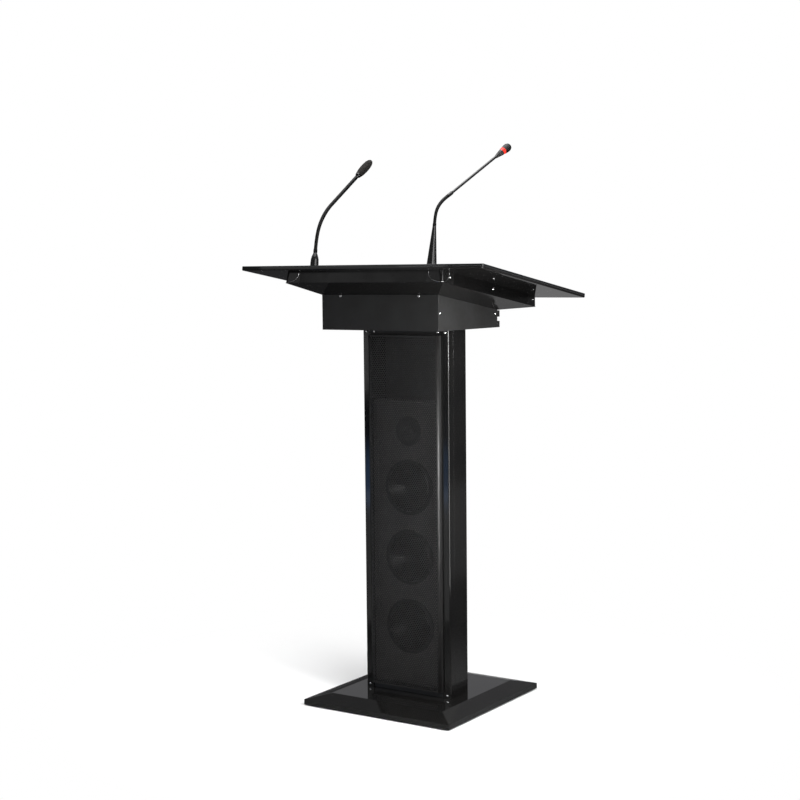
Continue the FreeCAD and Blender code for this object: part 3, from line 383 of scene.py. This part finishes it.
def desk_glass():
    """Toughened glass painted black behind: deep gloss, smears left by hands and paper."""
    finish = Finish("desk_glass", Specular_IOR_Level=0.5, IOR=1.52, Coat_Weight=0.3,
                    Coat_Roughness=0.03)
    finish.colour(finish.noise(0.2, 2), (0.004, 0.0045, 0.005), (0.008, 0.009, 0.0095))
    finish.rough(finish.noise(0.07, 6, distortion=1.2), 0.03, 0.11, 0.45, 0.75)
    finish.bump(finish.noise(0.06, 1), 0.00001)
    return finish.material


def foam():
    """Open-cell foam: pores just under a millimetre across, dark brown-grey."""
    finish = Finish("foam", Specular_IOR_Level=0.1, Sheen_Weight=0.04, Sheen_Roughness=0.6)
    finish.colour(finish.cells(0.0009), grey(0.03, 0.08), grey(0.01, 0.08), 0.15, 0.75)
    finish.rough(finish.noise(0.002, 3), 0.8, 0.95)
    finish.bump(finish.cells(0.0008), 0.0003, 0.8)
    return finish.material


def capsule_mesh():
    """Fine woven wire over the capsule."""
    finish = Finish("capsule_mesh", Specular_IOR_Level=0.3)
    finish.colour(finish.cells(0.0008), grey(0.018), grey(0.005), 0.2, 0.7)
    finish.rough(finish.noise(0.002, 3), 0.35, 0.5)
    finish.bump(finish.cells(0.0007), 0.00012)
    return finish.material


def red_light():
    """Red ring lit from inside, slightly cloudy."""
    finish = Finish("red_light", Specular_IOR_Level=0.2, Emission_Strength=0.5)
    finish.shader.inputs["Emission Color"].default_value = (1.0, 0.05, 0.03, 1)
    finish.colour(finish.noise(0.003, 2), (0.5, 0.015, 0.01), (0.8, 0.04, 0.025))
    finish.rough(finish.noise(0.002, 3), 0.18, 0.3)
    return finish.material


def tinted(name, low, high, rough, size):
    """Coloured plastic, tape or board."""
    finish = Finish(name, Specular_IOR_Level=0.5)
    finish.colour(finish.noise(size, 4), low, high)
    finish.rough(finish.noise(size * 0.5, 3), rough * 0.8, rough * 1.2)
    finish.bump(finish.noise(size * 0.3, 3), 0.00003)
    return finish.material


MATERIALS = {
    "gloss_lacquer": lacquer("gloss_lacquer", 0.006, 0.03, 0.000004),
    "gloss_black": lacquer("gloss_black", 0.005, 0.08, 0.000008),
    "satin_black": powder_coat("satin_black", 0.011, 0.34, 0.00005),
    "powder_black": powder_coat("powder_black", 0.0125, 0.42, 0.00006),
    "tray_black": lacquer("tray_black", 0.002, 0.14, 0.000006),
    "grille_black": powder_coat("grille_black", 0.011, 0.45, 0.00003),
    "bare_steel": metal("bare_steel", grey(0.35), grey(0.5), 0.35, (1, 8, 1)),
    "zinc_steel": metal("zinc_steel", grey(0.5, 0.03), grey(0.65, -0.03), 0.28),
    "rubber": plastic("rubber", 0.02, 0.75, 0.00006, 0.002),
    "black_board": board(),
    "basket_black": powder_coat("basket_black", 0.008, 0.42, 0.00004),
    "cone_paper": cone_paper(),
    "matt_plastic": plastic("matt_plastic", 0.02, 0.5),
    "dome_silk": dome_silk(),
    "knob_plastic": plastic("knob_plastic", 0.017, 0.38),
    "green_lamp": tinted("green_lamp", (0.02, 0.3, 0.06), (0.04, 0.5, 0.1), 0.2, 0.004),
    "rocker_plastic": plastic("rocker_plastic", 0.016, 0.22, 0.00001),
    "circuit_board": tinted("circuit_board", (0.01, 0.08, 0.03), (0.02, 0.14, 0.05), 0.35, 0.01),
    "fin_aluminium": metal("fin_aluminium", grey(0.5), grey(0.62, -0.02), 0.32, (8, 1, 1)),
    "transformer_tape": tinted("transformer_tape", (0.35, 0.24, 0.03), (0.5, 0.36, 0.06), 0.4,
                               0.012),
    "desk_glass": desk_glass(),
    "bright_screw": metal("bright_screw", grey(0.7), grey(0.85), 0.18),
    "mic_black": plastic("mic_black", 0.006, 0.25, 0.00001, 0.002, 0.5),
    "neck_black": plastic("neck_black", 0.004, 0.35, 0.00001, 0.001, 0.12),
    "foam": foam(),
    "red_light": red_light(),
    "capsule_mesh": capsule_mesh(),
    "pointer_white": tinted("pointer_white", grey(0.6), grey(0.72), 0.45, 0.003),
}


def dress_frame():
    """Give every CAD node the material of its slot."""
    for name, node in NODES.items():
        slots, material = node.data.materials, MATERIALS[SLOTS[name]]
        if len(slots) == 0:
            slots.append(material)
        for index in range(len(slots)):
            slots[index] = material


# ---------------------------------------------------------------- mesh building
def make_piece(name, points, faces, slot, smooth=True):
    """Object from points and faces, with the material of a slot."""
    mesh = bpy.data.meshes.new(name)
    mesh.from_pydata([tuple(p) for p in points], [], faces)
    mesh.polygons.foreach_set("use_smooth", [smooth] * len(mesh.polygons))
    mesh.materials.append(MATERIALS[slot])
    mesh.update()
    piece = bpy.data.objects.new(name, mesh)
    bpy.context.scene.collection.objects.link(piece)
    return piece


def skin(rings):
    """Points and faces of a tube through rings of equal length, closed to a point at each end."""
    count = len(rings[0])
    points = [p for ring in rings for p in ring]
    faces = []
    for i in range(len(rings) - 1):
        for k in range(count):
            a, b = i * count + k, i * count + (k + 1) % count
            faces.append((a, b, b + count, a + count))
    for ring, order in ((0, -1), (len(rings) - 1, 1)):
        centre = len(points)
        points.append(sum(rings[ring], Vector()) / count)
        for k in range(count):
            pair = (ring * count + k, ring * count + (k + 1) % count)
            faces.append((*pair[::order], centre))
    return points, faces


# ---------------------------------------------------------------- grille
GRILLE_WALL, GRILLE_BEND = 1.2 * MM, 7 * MM
HOLE_PITCH, HOLE_RADIUS, HOLE_CORNERS = 5.6 * MM, 2.25 * MM, 6
PLAIN_SIDE, PLAIN_END = 1.2 * MM, 3 * MM  # unpierced margins of the face


def hole_centres(reach, bottom, top):
    """Centres of a honeycomb of holes between -reach and reach, balanced left and right."""
    holes = []
    row, z = 0, bottom
    while z <= top:
        x = -reach + (HOLE_PITCH / 2 if row % 2 else 0)
        while x <= reach:
            holes.append((x, z))
            x += HOLE_PITCH
        row, z = row + 1, z + HOLE_PITCH * math.sqrt(0.75)
    shift = -(holes[0][0] + max(x for x, _ in holes)) / 2
    return [(x + shift, z) for x, z in holes]


def pierce(corners, holes):
    """Plate with its holes left out: points (the four corners first), triangles, a loop a hole."""
    points = [Vector(corner) for corner in corners]
    for x, z in holes:
        for k in range(HOLE_CORNERS):
            angle = math.radians(60 * k + 30)
            points.append(Vector((x + HOLE_RADIUS * math.cos(angle),
                                  z + HOLE_RADIUS * math.sin(angle))))
    loops = [list(range(start, start + HOLE_CORNERS))
             for start in range(4, len(points), HOLE_CORNERS)]
    cut = geometry.delaunay_2d_cdt(points, [], [list(range(4))] + loops, 1, 1e-7)
    first = [origin[0] for origin in cut[3]]
    triangles = []
    for triangle in cut[2]:
        a, b, c = (first[i] for i in triangle)
        if min(a, b, c) < 4 or len({(i - 4) // HOLE_CORNERS for i in (a, b, c)}) > 1:
            turn = (points[b] - points[a]).cross(points[c] - points[a])
            triangles.append((a, b, c) if turn > 0 else (a, c, b))
    return points, triangles, loops


def bent_side(flat, edge, face_y, lip_y, inset):
    """Outline of the pan's right side, from the start of its bend to the rear lip."""
    radius = GRILLE_BEND - inset
    arc = [(flat + radius * math.sin(a), face_y + GRILLE_BEND - radius * math.cos(a))
           for a in (math.radians(15 * k) for k in range(1, 7))]
    return arc + [(edge - inset, lip_y)]


def build_grille():
    """Pan of thin steel with rounded sides; its face is pierced with a honeycomb of holes."""
    low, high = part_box("grille_pan")
    flat = high.x - GRILLE_BEND
    holes = hole_centres(flat - PLAIN_SIDE - HOLE_RADIUS, low.z + PLAIN_END + HOLE_RADIUS,
                         high.z - PLAIN_END - HOLE_RADIUS)
    corners = ((-flat, low.z), (flat, low.z), (flat, high.z), (-flat, high.z))
    flats, web, loops = pierce(corners, holes)
    points = [Vector((p.x, low.y, p.y)) for p in flats]
    inner = len(points)
    for i, p in enumerate(flats):
        z = p.y + (GRILLE_WALL if i in (0, 1) else -GRILLE_WALL if i in (2, 3) else 0)
        points.append(Vector((p.x, low.y + GRILLE_WALL, z)))
    faces = web + [tuple(i + inner for i in reversed(triangle)) for triangle in web]
    for loop in loops:
        for a, b in zip(loop, loop[1:] + loop[:1]):
            faces.append((b, a, a + inner, b + inner))

    rims = {}
    for shell, inset, base in (("outer", 0, 0), ("inner", GRILLE_WALL, inner)):
        z0, z1 = low.z + inset, high.z - inset
        outlines = {}
        for side, corner_low, corner_high in ((1, 1, 2), (-1, 0, 3)):
            chain_low, chain_high = [base + corner_low], [base + corner_high]
            for x, y in bent_side(flat, high.x, low.y, high.y, inset):
                chain_low.append(len(points))
                points.append(Vector((side * x, y, z0)))
                chain_high.append(len(points))
                points.append(Vector((side * x, y, z1)))
            for k in range(len(chain_low) - 1):
                quad = (chain_low[k], chain_low[k + 1], chain_high[k + 1], chain_high[k])
                faces.append(quad if (side > 0) == (shell == "outer") else quad[::-1])
            outlines[side] = (chain_low, chain_high)
        for level in (0, 1):
            loop = outlines[-1][level][::-1] + outlines[1][level]
            faces.append(tuple(loop if (level == 1) == (shell == "outer") else loop[::-1]))
        (left_low, left_high), (right_low, right_high) = outlines[-1], outlines[1]
        rims[shell] = [left_low[-1], right_low[-1], right_high[-1], left_high[-1]]
    for k in range(4):
        a, b = k, (k + 1) % 4
        faces.append((rims["outer"][b], rims["outer"][a], rims["inner"][a], rims["inner"][b]))

    sheet = make_piece("grille_sheet", points, faces, "grille_black", smooth=False)
    for polygon in sheet.data.polygons:  # only the strips of the two bends are shaded as one curve
        normal = polygon.normal
        bent = abs(normal.z) < 0.1 and 0.05 < abs(normal.x) < 0.999
        polygon.use_smooth = bent and polygon.area > 1e-4
    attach(sheet, "stand")
    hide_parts("grille_pan")


# ---------------------------------------------------------------- microphones
RIB_PITCH, RIB_DEPTH = 2.2 * MM, 0.07  # depth as a share of the radius
HOSE_SIDES = 20
TIP_RADIUS = 0.2 * MM  # least radius of a turned piece, so that no ring shrinks to a point
CURVE_STEPS, STRAIGHT_STEPS = 40, 20  # along each curve between two joints, past the last joint


def hermite(start, heading, finish, arrival):
    """Points of a smooth run between two places with given directions."""
    pull = (finish - start).length
    run = []
    for i in range(CURVE_STEPS + 1):
        t = i / CURVE_STEPS
        run.append(start * (2 * t ** 3 - 3 * t ** 2 + 1)
                   + heading * pull * (t ** 3 - 2 * t ** 2 + t)
                   + finish * (3 * t ** 2 - 2 * t ** 3)
                   + arrival * pull * (t ** 3 - t ** 2))
    return run


def even_steps(run, spacing):
    """The same line with points evenly spaced along it."""
    lengths = [0.0]
    for a, b in zip(run, run[1:]):
        lengths.append(lengths[-1] + (b - a).length)
    count = max(2, round(lengths[-1] / spacing))
    even, k = [], 0
    for i in range(count + 1):
        goal = lengths[-1] * i / count
        while k < len(run) - 2 and lengths[k + 1] < goal:
            k += 1
        share = (goal - lengths[k]) / max(lengths[k + 1] - lengths[k], 1e-9)
        even.append(run[k].lerp(run[k + 1], share))
    return even


def hose(name, run, side, radius):
    """Flexible hose along a run, with rounded ribs.

    side is the direction square to the plane the run lies in; radius is a function of the distance
    from the start of the run.
    """
    line = even_steps(run, RIB_PITCH / 5)
    rings, travelled = [], 0.0
    for i, point in enumerate(line):
        ahead = (line[min(i + 1, len(line) - 1)] - line[max(i - 1, 0)]).normalized()
        out = side.cross(ahead).normalized()
        if i:
            travelled += (point - line[i - 1]).length
        rib = abs(math.sin(math.pi * travelled / RIB_PITCH)) ** 0.7
        swell = radius(travelled) * (1 - RIB_DEPTH + RIB_DEPTH * rib)
        rings.append([point + swell * (math.cos(a) * out + math.sin(a) * side)
                      for a in (2 * math.pi * k / HOSE_SIDES for k in range(HOSE_SIDES))])
    piece = make_piece(name, *skin(rings), "neck_black")
    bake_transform(piece)
    return piece


def tapered(radius, growth=0):
    """Hose radius in millimetres that grows by so many millimetres a metre."""
    return lambda along: (radius + growth * along) * MM


def footed(radius, swell, straight, ramp):
    """Hose radius in millimetres, wider over a straight foot and then back to plain over a ramp."""
    def at(along):
        left = max(0.0, 1 - max(0.0, along - straight * MM) / (ramp * MM))
        return (radius + swell * left) * MM

    return at


class Microphone:
    """Places and directions along one microphone, read from its joints and its CAD nodes."""

    def __init__(self, side):
        self.side = side
        self.foot = Vector(JOINTS[f"mic_{side}_swivel"]["pos_m"])
        self.up = Vector(JOINTS[f"mic_{side}_swivel"]["axis"])
        self.low, self.middle, self.high = (
            Vector(JOINTS[f"mic_{side}_bend_{level}"]["pos_m"])
            for level in ("low", "middle", "high"))
        self.hinge = Vector(JOINTS[f"mic_{side}_bend_low"]["axis"])
        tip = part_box(f"mic_{side}_" + ("windscreen" if side == "left" else "capsule"))
        self.head = ((tip[0] + tip[1]) / 2 - self.high).normalized()
        self.middle_heading = (self.up + self.head).normalized()

    def body(self, part):
        return f"mic_{self.side}_{part}"

    def profile(self, node):
        """Outline of a turned node of the head: its radius at each distance past the last joint."""
        widest = {}
        for vertex in NODES[node].data.vertices:
            offset = vertex.co - self.high
            along = offset.dot(self.head)
            across = (offset - self.head * along).length
            key = round(along, 4)
            widest[key] = max(widest.get(key, 0), across)
        return sorted(widest.items())

    def radius_at(self, profile, along):
        """Radius of an outline at a distance, between its two nearest points."""
        for (a, ra), (b, rb) in zip(profile, profile[1:]):
            if a <= along <= b:
                return ra + (rb - ra) * (along - a) / max(b - a, 1e-9)
        return profile[0][1] if along < profile[0][0] else profile[-1][1]

    def turned(self, name, node, spacing, count, relief, slot):
        """Turned piece in place of a node of the head, cut by relief(distance, angle, radius)."""
        profile = self.profile(node)
        start, end = profile[0][0], profile[-1][0]
        out = self.hinge.cross(self.head).normalized()
        steps = max(2, round((end - start) / spacing))
        rings = []
        for i in range(steps + 1):
            along = start + (end - start) * i / steps
            base = max(self.radius_at(profile, along), TIP_RADIUS)
            ring = []
            for k in range(count):
                angle = 2 * math.pi * k / count
                ray = math.cos(angle) * out + math.sin(angle) * self.hinge
                radius = base - relief(along - start, angle, base)
                ring.append(self.high + self.head * along + ray * radius)
            rings.append(ring)
        piece = make_piece(name, *skin(rings), slot)
        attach(piece, self.body("head"))
        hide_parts(node)

    def neck_runs(self, boot_top, past):
        """The neck's centre line as three runs that meet halfway between the joints."""
        lower = hermite(self.low, self.up, self.middle, self.middle_heading)
        upper = hermite(self.middle, self.middle_heading, self.high, self.head)
        half = CURVE_STEPS // 2
        first = [boot_top] + lower[:half + 1]
        second = lower[half:] + upper[1:half + 1]
        third = upper[half:] + [self.high + self.head * past * i / STRAIGHT_STEPS
                                for i in range(1, STRAIGHT_STEPS + 1)]
        return first, second, third

    def neck(self, boot_top, past, foot_reach, reach, head_reach, radii):
        """Three hoses from the boot to a place past the last joint, each running through one joint.

        past is how far the last hose goes on; the reaches are not used.
        """
        ends = (
            ("lower", "base", "lower", boot_top, self.low + self.up * foot_reach),
            ("middle", "lower", "middle", self.middle - self.middle_heading * reach,
             self.middle + self.middle_heading * reach),
            ("upper", "middle", "head", self.high - self.head * reach,
             self.high + self.head * head_reach),
        )
        runs = self.neck_runs(boot_top, past)
        for (level, body_a, body_b, start, end), run, radius in zip(ends, runs, radii):
            piece = hose(f"mic_{self.side}_hose_{level}", run, self.hinge, radius)
            node = f"mic_{self.side}_neck_{level}"
            if node in NODES:  # the right microphone's tube starts at its last joint
                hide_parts(node)


def build_left_microphone():
    """Ribbed neck all the way to the collar, oval foam windscreen."""
    mic = Microphone("left")
    collar = mic.profile("mic_left_collar")[0][0]
    mic.neck(boot_top=mic.foot + mic.up * 42.5 * MM, past=collar,
             foot_reach=18 * MM, reach=13 * MM, head_reach=13 * MM,
             radii=(footed(4.55, 0.75, 7, 5), tapered(4.55, 6), tapered(4.85)))

    def pores(along, angle, radius):
        """Uneven pits, shallower where the windscreen narrows."""
        spot = Vector((math.cos(angle) * 9, math.sin(angle) * 9, along / MM)) * 0.9
        depth = 0.28 + 0.28 * noise.noise(spot) + 0.18 * noise.noise(spot * 2.3)
        return depth * MM * min(1, radius / (4 * MM))

    mic.turned("mic_left_foam", "mic_left_windscreen", 0.45 * MM, 144, pores, "foam")


def build_right_microphone():
    """Ribbed bend between the cone and the tube, ribbed head, wire capsule."""
    mic = Microphone("right")
    mic.neck(boot_top=mic.foot + mic.up * 101.5 * MM, past=9.2 * MM,
             foot_reach=14 * MM, reach=9 * MM, head_reach=7 * MM,
             radii=(footed(3.95, 0.7, 6, 4), tapered(3.95, 9), tapered(4.35)))

    def grooves(along, angle, radius):
        """Rings turned into the middle of the head, one every 2.4 mm."""
        inside = 4 * MM < along < 22 * MM
        return 0.5 * MM * max(0.0, math.sin(2 * math.pi * along / (2.4 * MM))) if inside else 0.0

    def wires(along, angle, radius):
        """Two sets of wires that wind round the capsule in opposite directions."""
        crossing = abs(math.sin(15 * angle + 900 * along)) * abs(math.sin(15 * angle - 900 * along))
        return 0.35 * MM * crossing * min(1, radius / (6 * MM))

    mic.turned("mic_right_ribs", "mic_right_head", 0.3 * MM, 48, grooves, "mic_black")
    mic.turned("mic_right_wires", "mic_right_capsule", 0.4 * MM, 180, wires, "capsule_mesh")


# ---------------------------------------------------------------- tray corners
BEAD_RADIUS = 0.6 * MM
BEAD_STEPS = 24  # along each arm
FRONT_ARM, SIDE_ARM = 43 * MM, 25 * MM  # how far the bead's arms reach from the corner
INSET = 0.04  # a place this far inside the corner is what the bead's sections face away from


def build_corner_highlight_beads():
    """Bead in a U over each front corner of the tray, down one face and up the other; its bright
    metal is a painted highlight along the cap's rounded seam.
    """
    normal = Vector(JOINTS["mic_left_swivel"]["axis"])  # square to the desk
    slope = normal.cross(X_AXIS)
    places = [(v.co.x, v.co.dot(slope), v.co.dot(normal))
              for v in NODES["corner_caps"].data.vertices]
    (x0, x1), (v0, _), (low, top) = (
        (min(p[i] for p in places), max(p[i] for p in places)) for i in range(3))
    depth = top - low
    for name, x, across in (("left", x0, 1), ("right", x1, -1)):
        line = []
        for step in range(-BEAD_STEPS, BEAD_STEPS + 1):
            angle = math.radians(90 * (1 - abs(step) / BEAD_STEPS))
            reach = (SIDE_ARM if step > 0 else FRONT_ARM) * math.cos(angle) ** 0.8
            height = top - BEAD_RADIUS - 0.93 * depth * math.sin(angle) ** 0.8
            round_radius = (7 + 7 * (height - low) / depth) * MM  # of the cap at this height
            if reach >= round_radius:
                spot = (reach, 0.0)
            else:
                bow = math.radians(45 * (1 - reach / round_radius))
                spot = (round_radius * (1 - math.sin(bow)), round_radius * (1 - math.cos(bow)))
            if step > 0:
                spot = spot[::-1]
            line.append(X_AXIS * (x + across * spot[0]) + slope * (v0 + spot[1]) + normal * height)
        inside = (X_AXIS * (x + across * INSET) + slope * (v0 + INSET)
                  + normal * (top + low) / 2)
        rings = []
        for i, point in enumerate(line):
            ahead = (line[min(i + 1, len(line) - 1)] - line[max(i - 1, 0)]).normalized()
            out = point - inside
            out = (out - ahead * out.dot(ahead)).normalized()
            aside = ahead.cross(out)
            rings.append([point + BEAD_RADIUS * (math.cos(a) * out + math.sin(a) * aside)
                          for a in (math.pi * k / 5 for k in range(10))])
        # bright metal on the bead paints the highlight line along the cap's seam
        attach(make_piece(f"corner_highlight_bead_{name}", *skin(rings), "bright_screw"), "stand")


# ---------------------------------------------------------------- controls
POINTER_HALF_WIDTH = 0.55 * MM
POINTER_OUTLINE = [(1.6, 4.1), (7.2, 4.1), (6.8, 11.8), (5.8, 12.7), (1.6, 12.7)]  # out, up; mm
DOT_COUNT, DOT_CIRCLE, DOT_SIDES = 11, 12.4 * MM, 12
DOT_LEVELS = ((-0.2 * MM, 0.55 * MM), (0.08 * MM, 0.5 * MM))  # height over the panel, radius


def build_pointer(knob, centre):
    """White pointer in the slot of a knob."""
    points = [centre + Vector((x, height * MM, radius * MM))
              for x in (-POINTER_HALF_WIDTH, POINTER_HALF_WIDTH)
              for radius, height in POINTER_OUTLINE]
    count = len(POINTER_OUTLINE)
    faces = [tuple(range(count)), tuple(range(2 * count - 1, count - 1, -1))]
    faces += [(k, k + count, (k + 1) % count + count, (k + 1) % count) for k in range(count)]
    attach(make_piece(knob + "_pointer", points, faces, "pointer_white", smooth=False), knob)


def build_scale(knob, centre, panel_y):
    """Ring of raised dots on the panel, over the knob's 280 degrees of travel."""
    points, faces = [], []
    for step in range(DOT_COUNT):
        heading = math.radians(90 - 140 + 28 * step)
        spot = centre + Vector((DOT_CIRCLE * math.cos(heading), 0, DOT_CIRCLE * math.sin(heading)))
        first, count = len(points), DOT_SIDES
        for level, size in DOT_LEVELS:
            for k in range(count):
                a = 2 * math.pi * k / count
                points.append(Vector((spot.x + size * math.cos(a), panel_y + level,
                                      spot.z + size * math.sin(a))))
        for k in range(count):
            after = (k + 1) % count
            faces.append((first + k, first + count + k, first + count + after, first + after))
        faces.append(tuple(range(first, first + count)))
        faces.append(tuple(range(first + 2 * count - 1, first + count - 1, -1)))
    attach(make_piece(knob + "_scale", points, faces, "pointer_white", smooth=False), "stand")


def build_controls():
    """White marks on the three knobs and round them."""
    panel_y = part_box("control_panel")[1].y
    for knob in ("knob_mic_one", "knob_mic_two", "knob_music"):
        centre = Vector(JOINTS[knob + "_turn"]["pos_m"])
        build_pointer(knob, centre)
        build_scale(knob, centre, panel_y)


place_camera()
light_studio()
lay_floor()
dress_frame()
build_grille()
build_left_microphone()
build_right_microphone()
build_corner_highlight_beads()
build_controls()
